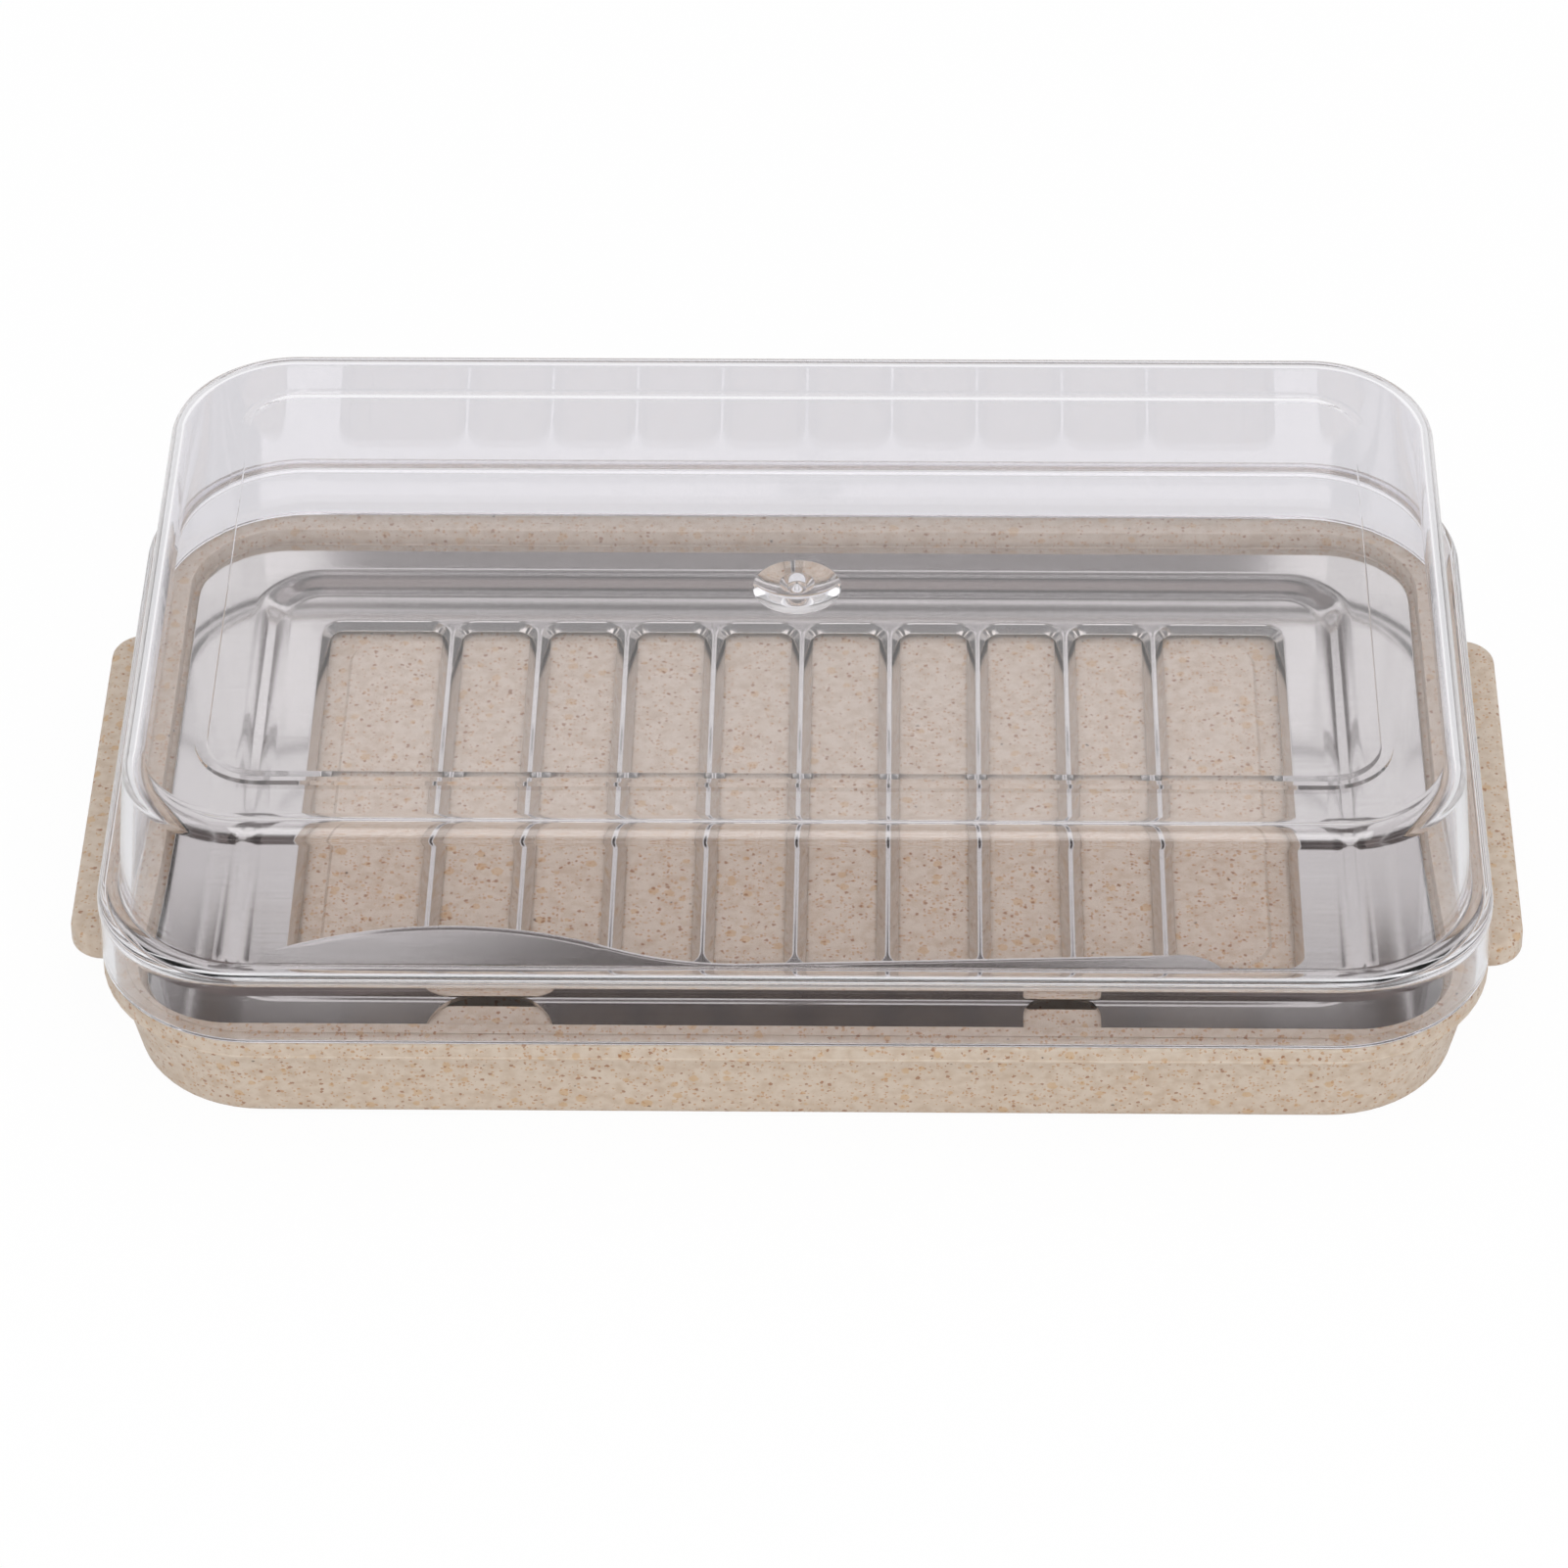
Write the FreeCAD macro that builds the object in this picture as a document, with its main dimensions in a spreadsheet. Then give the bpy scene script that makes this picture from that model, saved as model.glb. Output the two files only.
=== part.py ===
import FreeCAD, Part
import Sketcher
import math
import os

# Butter dish with slicer, in millimetres. +X runs along the dish, -Y is its front and +Z is up.
# The origin lies on the table, under the middle of the dish.

SIZES = {
    # Slicer: pressed sheet, row of windows with turned-down blades, pan and rim
    "sheet_thickness": 0.6,
    "bar_count": 9,
    "bar_pitch": 12.1,
    "bar_width": 0.9,
    "bar_split": 0.1,
    "end_window_width": 17.65,
    "window_depth": 69.8,
    "window_corner": 3.0,
    "blade_drop": 1.8,
    "blade_lean": 1.1,
    "blade_end_lean": 0.25,
    "pan_end_margin": 6.1,
    "pan_side_margin": 7.0,
    "pan_corner": 6.0,
    "pan_drop": 1.2,
    "pan_slope": 1.5,
    "rim_end_width": 10.0,
    "rim_side_width": 7.3,
    "notch_land": 1.9,
    "thumb_notch_place": 39.0,
    "thumb_notch_radius": 8.0,
    "finger_notch_place": 34.6,
    "finger_notch_width": 9.6,
    "finger_notch_flat": 1.0,
    # Dish inside: platform with a low pad for the butter, moat, ledge for the slicer, rib inside the lid
    "platform_end_margin": 1.5,
    "platform_side_margin": 1.5,
    "platform_corner": 6.0,
    "platform_draft": 0.8,
    "platform_wall": 2.4,
    "platform_chamfer": 0.8,
    "pad_end_inset": 5.9,
    "pad_side_inset": 3.4,
    "pad_corner": 4.5,
    "pad_edge": 0.4,
    "pad_height": 0.4,
    "pad_gap": 0.3,
    "floor_thickness": 2.4,
    "moat_chamfer": 1.6,
    "wall_draft": 1.4,
    "ledge_width": 6.6,
    "ledge_depth": 2.4,
    "plate_gap": 0.9,
    "seat_gap": 0.1,
    "rib_end_width": 2.2,
    "rib_side_width": 1.8,
    "rib_height": 0.9,
    "rib_gap": 1.5,
    # Dish outside: flange, body, foot and grip ears
    "flange_height": 15.7,
    "flange_thickness": 2.5,
    "flange_corner": 21.0,
    "flange_chamfer": 0.4,
    "corner_step": 8.0,
    "body_inset": 1.3,
    "foot_inset": 4.2,
    "foot_round": 2.0,
    "ear_reach": 5.3,
    "ear_width": 65.5,
    "ear_corner": 4.5,
    "ear_set_down": 0.3,
    "ear_thickness": 3.6,
    "ear_chamfer": 0.7,
    # Butter knife: straight spine, bellied blade, waist and flared handle
    "knife_thickness": 1.3,
    "knife_gap": 0.1,
    "blade_width": 11.6,
    "belly_radius": 55.0,
    "waist_radius": 45.0,
    "tip_radius": 3.5,
    "tip_margin": 2.8,
    "handle_width": 6.5,
    "handle_margin": 15.8,
    "handle_angle": 2.2,
    "bevel_width": 0.6,
    # Lid: skirt, shoulder, drafted wall, raised panel and gate mark
    "lid_gap": 0.2,
    "lid_wall": 1.5,
    "skirt_overhang": 0.2,
    "skirt_height": 5.8,
    "shoulder_width": 3.0,
    "shoulder_height": 1.9,
    "shoulder_chamfer": 1.3,
    "wall_height": 24.2,
    "lid_draft": 1.9,
    "lid_round": 3.0,
    "ceiling_chamfer": 1.0,
    "panel_end_margin": 10.7,
    "panel_side_margin": 10.8,
    "panel_corner": 7.0,
    "panel_height": 0.3,
    "panel_edge": 1.6,
    "gate_radius": 5.7,
    "gate_depth": 0.5,
    "gate_pip": 0.8,
}

# Edges and faces closer to a level than this lie on it
TOUCH = 1e-4

doc = FreeCAD.newDocument("ButterDish")
sheet = doc.addObject("Spreadsheet::Sheet", "Sizes")
for row, (alias, number) in enumerate(SIZES.items(), start=1):
    sheet.set(f"A{row}", alias)
    sheet.set(f"B{row}", str(number))
    sheet.setAlias(f"B{row}", alias)
doc.recompute()


def size(name):
    return f"Sizes.{name}"


def value(expression):
    return float(sheet.evalExpression(expression))


# Widths get the same change at both ends, heights and radii only once
def narrower(width, *margins):
    return f"({width})" + "".join(f" - 2 * ({margin})" for margin in margins)


def wider(width, *margins):
    return f"({width})" + "".join(f" + 2 * ({margin})" for margin in margins)


def plus(*terms):
    return " + ".join(f"({term})" for term in terms)


def minus(first, *takes):
    return f"({first})" + "".join(f" - ({take})" for take in takes)


def origin_plane(body, role):
    return next(item for item in body.Origin.OriginFeatures if item.Role == role)


def new_body(name):
    body = doc.addObject("PartDesign::Body", name)
    body.Label = name
    return body


def level_sketch(body, name, height, shift_x="0", shift_y="0"):
    sketch = body.newObject("Sketcher::SketchObject", name)
    sketch.AttachmentSupport = [(origin_plane(body, "XY_Plane"), "")]
    sketch.MapMode = "FlatFace"
    sketch.setExpression("AttachmentOffset.Base.x", shift_x)
    sketch.setExpression("AttachmentOffset.Base.y", shift_y)
    sketch.setExpression("AttachmentOffset.Base.z", height)
    return sketch


def drive(sketch, name, expression, *constraint):
    index = sketch.addConstraint(Sketcher.Constraint(*constraint, value(expression)))
    sketch.renameConstraint(index, name)
    sketch.setExpression(f"Constraints.{name}", expression)


# A rectangle with four equal round corners, centred on its sketch
def rounded_rectangle(sketch, length, depth, corner):
    half_x = value(length) / 2
    half_y = value(depth) / 2
    radius = value(corner)
    in_x = half_x - radius
    in_y = half_y - radius
    first = sketch.GeometryCount
    sides = [((-in_x, -half_y), (in_x, -half_y)), ((half_x, -in_y), (half_x, in_y)),
             ((in_x, half_y), (-in_x, half_y)), ((-half_x, in_y), (-half_x, -in_y))]
    centres = [(in_x, -in_y), (in_x, in_y), (-in_x, in_y), (-in_x, -in_y)]
    for quarter, ((start, end), centre) in enumerate(zip(sides, centres)):
        sketch.addGeometry(Part.LineSegment(FreeCAD.Vector(*start, 0), FreeCAD.Vector(*end, 0)))
        circle = Part.Circle(FreeCAD.Vector(*centre, 0), FreeCAD.Vector(0, 0, 1), radius)
        turn = (quarter - 1) * math.pi / 2
        sketch.addGeometry(Part.ArcOfCircle(circle, turn, turn + math.pi / 2))
    for step in range(8):
        here = first + step
        after = first + (step + 1) % 8
        sketch.addConstraint(Sketcher.Constraint("Tangent", here, 2, after, 1))
    for step, direction in enumerate(("Horizontal", "Vertical", "Horizontal", "Vertical")):
        sketch.addConstraint(Sketcher.Constraint(direction, first + 2 * step))
    for step in (3, 5, 7):
        sketch.addConstraint(Sketcher.Constraint("Equal", first + 1, first + step))
    sketch.addConstraint(Sketcher.Constraint("Symmetric", first + 1, 3, first + 5, 3, -1, 1))
    drive(sketch, "corner", corner, "Radius", first + 1)
    drive(sketch, "length", length, "DistanceX", first + 6, 1, first + 2, 1)
    drive(sketch, "depth", depth, "DistanceY", first, 1, first + 4, 1)
    return sketch


def frame(body, name, height, length, depth, corner, shift_x="0", shift_y="0"):
    sketch = level_sketch(body, name, height, shift_x, shift_y)
    return rounded_rectangle(sketch, length, depth, corner)


def loft(body, kind, name, first, last):
    feature = body.newObject(f"PartDesign::{kind}Loft", name)
    feature.Profile = first
    feature.Sections = [last]
    feature.Ruled = True
    doc.recompute()
    return feature


# The spread is how far the sides lean out over the length of the pad or pocket
def pad(body, name, sketch, length, spread="0"):
    feature = body.newObject("PartDesign::Pad", name)
    feature.Profile = sketch
    feature.setExpression("Length", length)
    feature.setExpression("TaperAngle", f"atan(({spread}) / ({length}))")
    doc.recompute()
    return feature


def pocket(body, name, sketch, length, spread="0"):
    before = body.Shape.Volume
    feature = body.newObject("PartDesign::Pocket", name)
    feature.Profile = sketch
    feature.setExpression("Length", length)
    feature.setExpression("TaperAngle", f"atan(({spread}) / ({length}))")
    doc.recompute()
    if not feature.Shape.Volume < before:
        raise RuntimeError(f"{name} cut nothing")
    return feature


def edges_where(feature, test):
    return [f"Edge{number}" for number, edge in enumerate(feature.Shape.Edges, start=1) if test(edge)]


def flat_at(height, reach_x=0.0, reach_y=0.0, within_x=math.inf):
    level = value(height)

    def test(edge):
        box = edge.BoundBox
        flat = abs(box.ZMin - level) < TOUCH and abs(box.ZMax - level) < TOUCH
        end_x = max(abs(box.XMin), abs(box.XMax))
        far_x = within_x > end_x > reach_x
        far_y = max(abs(box.YMin), abs(box.YMax)) > reach_y
        return flat and (far_x or far_y)

    return test


def round_edges(body, name, base, edges, radius):
    feature = body.newObject("PartDesign::Fillet", name)
    feature.Base = (base, edges)
    feature.setExpression("Radius", radius)
    doc.recompute()
    return feature


def chamfer_edges(body, name, base, edges, width):
    feature = body.newObject("PartDesign::Chamfer", name)
    feature.Base = (base, edges)
    feature.setExpression("Size", width)
    doc.recompute()
    return feature


# Fitted sizes, from the row of windows outwards
bar_row = plus(f"({size('bar_count')} - 1) * {size('bar_pitch')}", size("bar_width"))
field_length = wider(bar_row, size("end_window_width"))
window_depth = size("window_depth")
platform_length = wider(field_length, size("platform_end_margin"))
platform_depth = wider(window_depth, size("platform_side_margin"))
pan_length = wider(field_length, size("pan_end_margin"))
pan_depth = wider(window_depth, size("pan_side_margin"))
plate_length = wider(pan_length, size("pan_slope"), size("rim_end_width"))
plate_depth = wider(pan_depth, size("pan_slope"), size("rim_side_width"))
opening_length = wider(plate_length, size("plate_gap"))
opening_depth = wider(plate_depth, size("plate_gap"))
opening_corner = minus(size("flange_corner"), size("corner_step"))
rib_setback = plus(minus(size("lid_wall"), size("skirt_overhang")), size("rib_gap"))
flange_length = wider(opening_length, size("rib_end_width"), rib_setback)
flange_depth = wider(opening_depth, size("rib_side_width"), rib_setback)

# Levels, from the flange downwards and then upwards
flange_top = size("flange_height")
flange_under = minus(flange_top, size("flange_thickness"))
rib_top = plus(flange_top, size("rib_height"))
ear_top = minus(flange_under, size("ear_set_down"))
ear_under = minus(ear_top, size("ear_thickness"))
ledge = minus(flange_top, size("ledge_depth"))
plate_under = plus(ledge, size("seat_gap"))
plate_top = plus(plate_under, size("sheet_thickness"))
pan_top = minus(plate_top, size("pan_drop"))
blade_low = minus(pan_top, size("blade_drop"))
pad_top = minus(blade_low, size("pad_gap"))
platform_top = minus(pad_top, size("pad_height"))
skirt_under = plus(flange_top, size("lid_gap"))
skirt_top = plus(skirt_under, size("skirt_height"))
shoulder_top = plus(skirt_top, size("shoulder_height"))
lid_top = plus(shoulder_top, size("wall_height"))
panel_top = plus(lid_top, size("panel_height"))


def make_base_dish():
    body = new_body("base_dish")
    foot_inset = size("foot_inset")
    body_inset = size("body_inset")
    foot = frame(body, "FootOutline", "0", narrower(flange_length, foot_inset),
                 narrower(flange_depth, foot_inset), minus(size("flange_corner"), foot_inset))
    hull = pad(body, "Hull", foot, flange_under, minus(foot_inset, body_inset))
    hull = round_edges(body, "FootRound", hull, edges_where(hull, flat_at("0")), size("foot_round"))

    ears = frame(body, "EarOutline", ear_under, wider(flange_length, size("ear_reach")),
                 size("ear_width"), size("ear_corner"))
    ears = pad(body, "Ears", ears, size("ear_thickness"))
    beyond_flange = value(flange_length) / 2 + value(size("ear_chamfer")) / 2
    ear_edges = edges_where(ears, flat_at(ear_top, beyond_flange, math.inf))
    ear_edges += edges_where(ears, flat_at(ear_under, beyond_flange, math.inf))
    chamfer_edges(body, "EarChamfer", ears, ear_edges, size("ear_chamfer"))

    flange = frame(body, "FlangeOutline", flange_under, flange_length, flange_depth,
                   size("flange_corner"))
    flange = pad(body, "Flange", flange, size("flange_thickness"))
    inside_flange = value(flange_depth) / 2 - value(size("flange_corner"))
    flange_edges = edges_where(flange, flat_at(flange_top, math.inf, inside_flange))
    chamfer_edges(body, "FlangeChamfer", flange, flange_edges, size("flange_chamfer"))

    rib = frame(body, "RibOutline", flange_top, narrower(flange_length, rib_setback),
                narrower(flange_depth, rib_setback), minus(size("flange_corner"), rib_setback))
    pad(body, "Rib", rib, size("rib_height"))

    opening = frame(body, "OpeningOutline", rib_top, opening_length, opening_depth,
                    opening_corner)
    pocket(body, "Opening", opening, minus(rib_top, ledge))
    width = size("ledge_width")
    mouth = frame(body, "MoatMouth", ledge, narrower(opening_length, width),
                  narrower(opening_depth, width), minus(opening_corner, width))
    moat = pocket(body, "Moat", mouth, minus(ledge, size("floor_thickness")), f"-{size('wall_draft')}")
    floor_edges = edges_where(moat, flat_at(size("floor_thickness")))
    chamfer_edges(body, "MoatChamfer", moat, floor_edges, size("moat_chamfer"))

    spread = size("platform_draft")
    root = frame(body, "PlatformRoot", size("floor_thickness"), wider(platform_length, spread),
                 wider(platform_depth, spread), plus(size("platform_corner"), spread))
    rise = minus(platform_top, size("floor_thickness"))
    platform = pad(body, "Platform", root, rise, f"-{spread}")
    inside_dish = value(opening_length) / 2
    crown_edges = edges_where(platform, flat_at(platform_top, 0.0, math.inf, inside_dish))
    chamfer_edges(body, "PlatformChamfer", platform, crown_edges, size("platform_chamfer"))
    pad_length = narrower(platform_length, size("pad_end_inset"))
    pad_depth = narrower(platform_depth, size("pad_side_inset"))
    edge = size("pad_edge")
    pad_root = frame(body, "PadRoot", platform_top, wider(pad_length, edge), wider(pad_depth, edge),
                     plus(size("pad_corner"), edge))
    pad(body, "ButterPad", pad_root, size("pad_height"), f"-{edge}")

    wall = size("platform_wall")
    hollow_length = narrower(platform_length, wall)
    hollow_depth = narrower(platform_depth, wall)
    hollow_floor = frame(body, "HollowMouth", "0", wider(hollow_length, spread), wider(hollow_depth, spread),
                         size("platform_corner"))
    hollow_roof = frame(body, "HollowRoof", minus(pad_top, wall), hollow_length, hollow_depth,
                        minus(size("platform_corner"), spread))
    loft(body, "Subtractive", "Hollow", hollow_floor, hollow_roof)
    return body


# One window of the slicer: a plug of sheet whose inside is then cut out, so that a blade hangs round it
def window_pair(body, name, width, place):
    blade = f"({size('bar_width')} - {size('bar_split')}) / 2"
    lean = size("blade_lean")
    end_lean = size("blade_end_lean")
    corner = size("window_corner")
    wide = wider(width, blade)
    deep = wider(window_depth, blade)
    big = plus(corner, blade)
    plug_top = frame(body, f"{name}PlugTop", pan_top, wide, deep, big, place)
    plug_low = frame(body, f"{name}PlugLow", blade_low, narrower(wide, lean), narrower(deep, end_lean),
                     minus(big, lean), place)
    plug = loft(body, "Additive", f"{name}Plug", plug_top, plug_low)
    hole_top = frame(body, f"{name}HoleTop", pan_top, width, window_depth, corner, place)
    hole_low = frame(body, f"{name}HoleLow", blade_low, narrower(width, lean),
                     narrower(window_depth, end_lean), minus(corner, lean), place)
    hole = loft(body, "Subtractive", f"{name}Hole", hole_top, hole_low)
    return [plug, hole]


def make_slicer():
    body = new_body("slicer")
    gauge = size("sheet_thickness")
    plate_corner = minus(opening_corner, size("plate_gap"))
    outline = frame(body, "PlateOutline", plate_under, plate_length, plate_depth, plate_corner)
    pad(body, "Plate", outline, gauge)

    slope = size("pan_slope")
    rim_length = wider(pan_length, slope)
    rim_depth = wider(pan_depth, slope)
    rim_corner = plus(size("pan_corner"), slope)
    outer_top = frame(body, "PanOuterTop", plate_top, wider(rim_length, gauge),
                      wider(rim_depth, gauge), plus(rim_corner, gauge))
    outer_low = frame(body, "PanOuterLow", minus(pan_top, gauge), wider(pan_length, gauge),
                      wider(pan_depth, gauge), plus(size("pan_corner"), gauge))
    loft(body, "Additive", "PanOuter", outer_top, outer_low)
    inner_top = frame(body, "PanInnerTop", plate_top, rim_length, rim_depth, rim_corner)
    inner_low = frame(body, "PanInnerLow", pan_top, pan_length, pan_depth, size("pan_corner"))
    loft(body, "Subtractive", "PanInner", inner_top, inner_low)

    span = f"({size('bar_count')} - 2) * {size('bar_pitch')}"
    middle = window_pair(body, "Middle", minus(size("bar_pitch"), size("bar_width")), f"-({span}) / 2")
    row = body.newObject("PartDesign::LinearPattern", "WindowRow")
    row.Originals = middle
    row.Direction = (origin_plane(body, "X_Axis"), [""])
    row.setExpression("Length", span)
    row.setExpression("Occurrences", f"{size('bar_count')} - 1")
    body.Tip = row
    doc.recompute()

    ends = window_pair(body, "End", size("end_window_width"),
                       f"({field_length}) / 2 - {size('end_window_width')} / 2")
    pair = body.newObject("PartDesign::Mirrored", "WindowEnds")
    pair.Originals = ends
    pair.MirrorPlane = (origin_plane(body, "YZ_Plane"), [""])
    body.Tip = pair
    doc.recompute()

    notch_depth = minus(size("rim_side_width"), size("notch_land"))
    front = f"-({plate_depth}) / 2"
    thumb = level_sketch(body, "ThumbNotchOutline", plate_top, f"-{size('thumb_notch_place')}",
                         minus(plus(front, notch_depth), size("thumb_notch_radius")))
    thumb_radius = value(size("thumb_notch_radius"))
    thumb.addGeometry(Part.Circle(FreeCAD.Vector(), FreeCAD.Vector(0, 0, 1), thumb_radius))
    thumb.addConstraint(Sketcher.Constraint("Coincident", 0, 3, -1, 1))
    drive(thumb, "radius", size("thumb_notch_radius"), "Radius", 0)
    pocket(body, "ThumbNotch", thumb, gauge)
    finger_corner = f"({size('finger_notch_width')} - {size('finger_notch_flat')}) / 2"
    finger = frame(body, "FingerNotchOutline", plate_top, size("finger_notch_width"), f"2 * ({notch_depth})",
                   finger_corner, size("finger_notch_place"), front)
    pocket(body, "FingerNotch", finger, gauge)
    return body


def make_butter_knife():
    body = new_body("butter_knife")
    sketch = level_sketch(body, "KnifeOutline", "0")
    belly_r = value(size("belly_radius"))
    waist_r = value(size("waist_radius"))
    tip_r = value(size("tip_radius"))
    end_r = value(size("handle_width"))
    tilt = math.radians(value(size("handle_angle")))
    tip_place = minus(f"({pan_length}) / 2", size("tip_margin"), size("tip_radius"))
    handle_place = minus(f"({pan_length}) / 2", size("handle_margin"), size("handle_width"))
    tip = FreeCAD.Vector(-value(tip_place), tip_r, 0)
    belly_y = value(size("blade_width")) - belly_r
    belly = FreeCAD.Vector(tip.x + math.sqrt((belly_r - tip_r) ** 2 - (tip_r - belly_y) ** 2), belly_y, 0)
    handle = FreeCAD.Vector(value(handle_place), 0, 0)
    along = FreeCAD.Vector(-math.cos(tilt), -math.sin(tilt), 0)
    across = FreeCAD.Vector(-math.sin(tilt), math.cos(tilt), 0)
    edge_start = handle + across * end_r
    # The waist's centre lies one radius above the handle's edge and touches the belly from outside
    base = edge_start + across * waist_r - belly
    half = base.dot(along)
    root = math.sqrt(half ** 2 - base.dot(base) + (belly_r + waist_r) ** 2)
    reach = -half - root if -half > root else -half + root
    waist = edge_start + across * waist_r + along * reach
    edge_end = waist - across * waist_r
    meet = belly + (waist - belly) * (belly_r / (belly_r + waist_r))
    tip_meet = belly + (tip - belly) * (belly_r / (belly_r - tip_r))
    up = FreeCAD.Vector(0, 0, 1)

    def bearing(point, centre):
        return math.atan2(point.y - centre.y, point.x - centre.x)

    def arc(centre, radius, start, end):
        first = bearing(start, centre)
        last = bearing(end, centre)
        if last < first:
            last += 2 * math.pi
        return Part.ArcOfCircle(Part.Circle(centre, up, radius), first, last)

    spine_end = handle + FreeCAD.Vector(end_r, 0, 0)
    spine_start = FreeCAD.Vector(tip.x, 0, 0)
    sketch.addGeometry(Part.LineSegment(spine_start, spine_end))
    sketch.addGeometry(arc(handle, end_r, spine_end, edge_start))
    sketch.addGeometry(Part.LineSegment(edge_start, edge_end))
    sketch.addGeometry(arc(waist, waist_r, meet, edge_end))
    sketch.addGeometry(arc(belly, belly_r, meet, tip_meet))
    sketch.addGeometry(arc(tip, tip_r, tip_meet, spine_start))
    for joint in (("Coincident", 0, 2, 1, 1), ("Tangent", 1, 2, 2, 1), ("Tangent", 2, 2, 3, 2),
                  ("Tangent", 3, 1, 4, 1), ("Tangent", 4, 2, 5, 1), ("Tangent", 5, 2, 0, 1)):
        sketch.addConstraint(Sketcher.Constraint(*joint))
    sketch.addConstraint(Sketcher.Constraint("PointOnObject", 0, 1, -1))
    sketch.addConstraint(Sketcher.Constraint("PointOnObject", 0, 2, -1))
    sketch.addConstraint(Sketcher.Constraint("PointOnObject", 1, 3, -1))
    drive(sketch, "handle", size("handle_width"), "Radius", 1)
    drive(sketch, "waist", size("waist_radius"), "Radius", 3)
    drive(sketch, "belly", size("belly_radius"), "Radius", 4)
    drive(sketch, "tip", size("tip_radius"), "Radius", 5)
    drive(sketch, "handle_place", handle_place, "DistanceX", -1, 1, 1, 3)
    drive(sketch, "tip_place", tip_place, "DistanceX", 5, 3, -1, 1)
    drive(sketch, "blade", minus(size("belly_radius"), size("blade_width")), "DistanceY", 4, 3, -1, 1)
    tilt_index = sketch.addConstraint(Sketcher.Constraint("Angle", 2, math.pi + tilt))
    sketch.renameConstraint(tilt_index, "tilt")
    sketch.setExpression("Constraints.tilt", f"(180 + {size('handle_angle')}) * 1 deg")
    blank = pad(body, "Blank", sketch, size("knife_thickness"))

    def ground(edge):
        on_belly = abs(getattr(edge.Curve, "Radius", 0) - belly_r) < TOUCH
        return on_belly and edge.BoundBox.ZMin > value(size("knife_thickness")) / 2

    chamfer_edges(body, "Bevel", blank, edges_where(blank, ground), size("bevel_width"))
    body.setExpression("Placement.Base.y", minus(size("knife_gap"), f"({pan_depth}) / 2"))
    body.setExpression("Placement.Base.z", plus(pan_top, size("seat_gap")))
    doc.recompute()
    return body


def make_lid():
    body = new_body("lid")
    length = wider(flange_length, size("skirt_overhang"))
    depth = wider(flange_depth, size("skirt_overhang"))
    corner = plus(size("flange_corner"), size("skirt_overhang"))
    shoulder = size("shoulder_width")
    draft = plus(shoulder, size("lid_draft"))
    pad(body, "Skirt", frame(body, "SkirtOutline", skirt_under, length, depth, corner), size("skirt_height"))
    low = frame(body, "ShoulderLow", skirt_top, length, depth, corner)
    high = frame(body, "ShoulderHigh", shoulder_top, narrower(length, shoulder), narrower(depth, shoulder),
                 minus(corner, shoulder))
    loft(body, "Additive", "Shoulder", low, high)
    foot = frame(body, "WallFoot", shoulder_top, narrower(length, shoulder), narrower(depth, shoulder),
                 minus(corner, shoulder))
    crown = frame(body, "WallCrown", lid_top, narrower(length, draft), narrower(depth, draft),
                  minus(corner, draft))
    wall = loft(body, "Additive", "Wall", foot, crown)
    wall = chamfer_edges(body, "ShoulderChamfer", wall, edges_where(wall, flat_at(shoulder_top)),
                         size("shoulder_chamfer"))

    under = value(skirt_under)
    mouth = [f"Face{number}" for number, face in enumerate(wall.Shape.Faces, start=1)
             if face.BoundBox.ZMax < under + TOUCH]
    shell = body.newObject("PartDesign::Thickness", "Shell")
    shell.Base = (wall, mouth)
    shell.Reversed = True
    shell.setExpression("Value", size("lid_wall"))
    doc.recompute()
    shell = round_edges(body, "CrownRound", shell, edges_where(shell, flat_at(lid_top)), size("lid_round"))
    ceiling = minus(lid_top, size("lid_wall"))
    chamfer_edges(body, "CeilingChamfer", shell, edges_where(shell, flat_at(ceiling)), size("ceiling_chamfer"))

    edge = size("panel_edge")
    panel_length = narrower(length, draft, size("panel_end_margin"))
    panel_depth = narrower(depth, draft, size("panel_side_margin"))
    panel_root = frame(body, "PanelRoot", lid_top, wider(panel_length, edge),
                       wider(panel_depth, edge), plus(size("panel_corner"), edge))
    panel_crown = frame(body, "PanelCrown", panel_top, panel_length,
                        panel_depth, size("panel_corner"))
    loft(body, "Additive", "Panel", panel_root, panel_crown)

    gate = level_sketch(body, "GateOutline", panel_top)
    for number, name in enumerate(("gate_radius", "gate_pip")):
        gate.addGeometry(Part.Circle(FreeCAD.Vector(), FreeCAD.Vector(0, 0, 1), value(size(name))))
        gate.addConstraint(Sketcher.Constraint("Coincident", number, 3, -1, 1))
        drive(gate, name, size(name), "Radius", number)
    pocket(body, "GateMark", gate, size("gate_depth"))
    return body


pieces = [make_base_dish(), make_slicer(), make_butter_knife(), make_lid()]
doc.recompute()

for item in doc.Objects:
    if "Invalid" in item.State or "Error" in item.State:
        raise RuntimeError(f"{item.Name} failed: {item.State}")
for piece in pieces:
    if piece.Shape.isNull() or not piece.Shape.isValid():
        raise RuntimeError(f"{piece.Label} has no valid shape")

os.makedirs("parts", exist_ok=True)
for piece in pieces:
    piece.Shape.exportStep(f"parts/{piece.Label}.step")
    box = piece.Shape.BoundBox
    print(piece.Label, len(piece.Shape.Solids), "solid", round(piece.Shape.Volume),
          [round(bound, 2) for bound in (box.XMin, box.XMax, box.YMin, box.YMax, box.ZMin, box.ZMax)])
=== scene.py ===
import math

import bmesh
import bpy
from mathutils import Matrix, Vector


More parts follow.
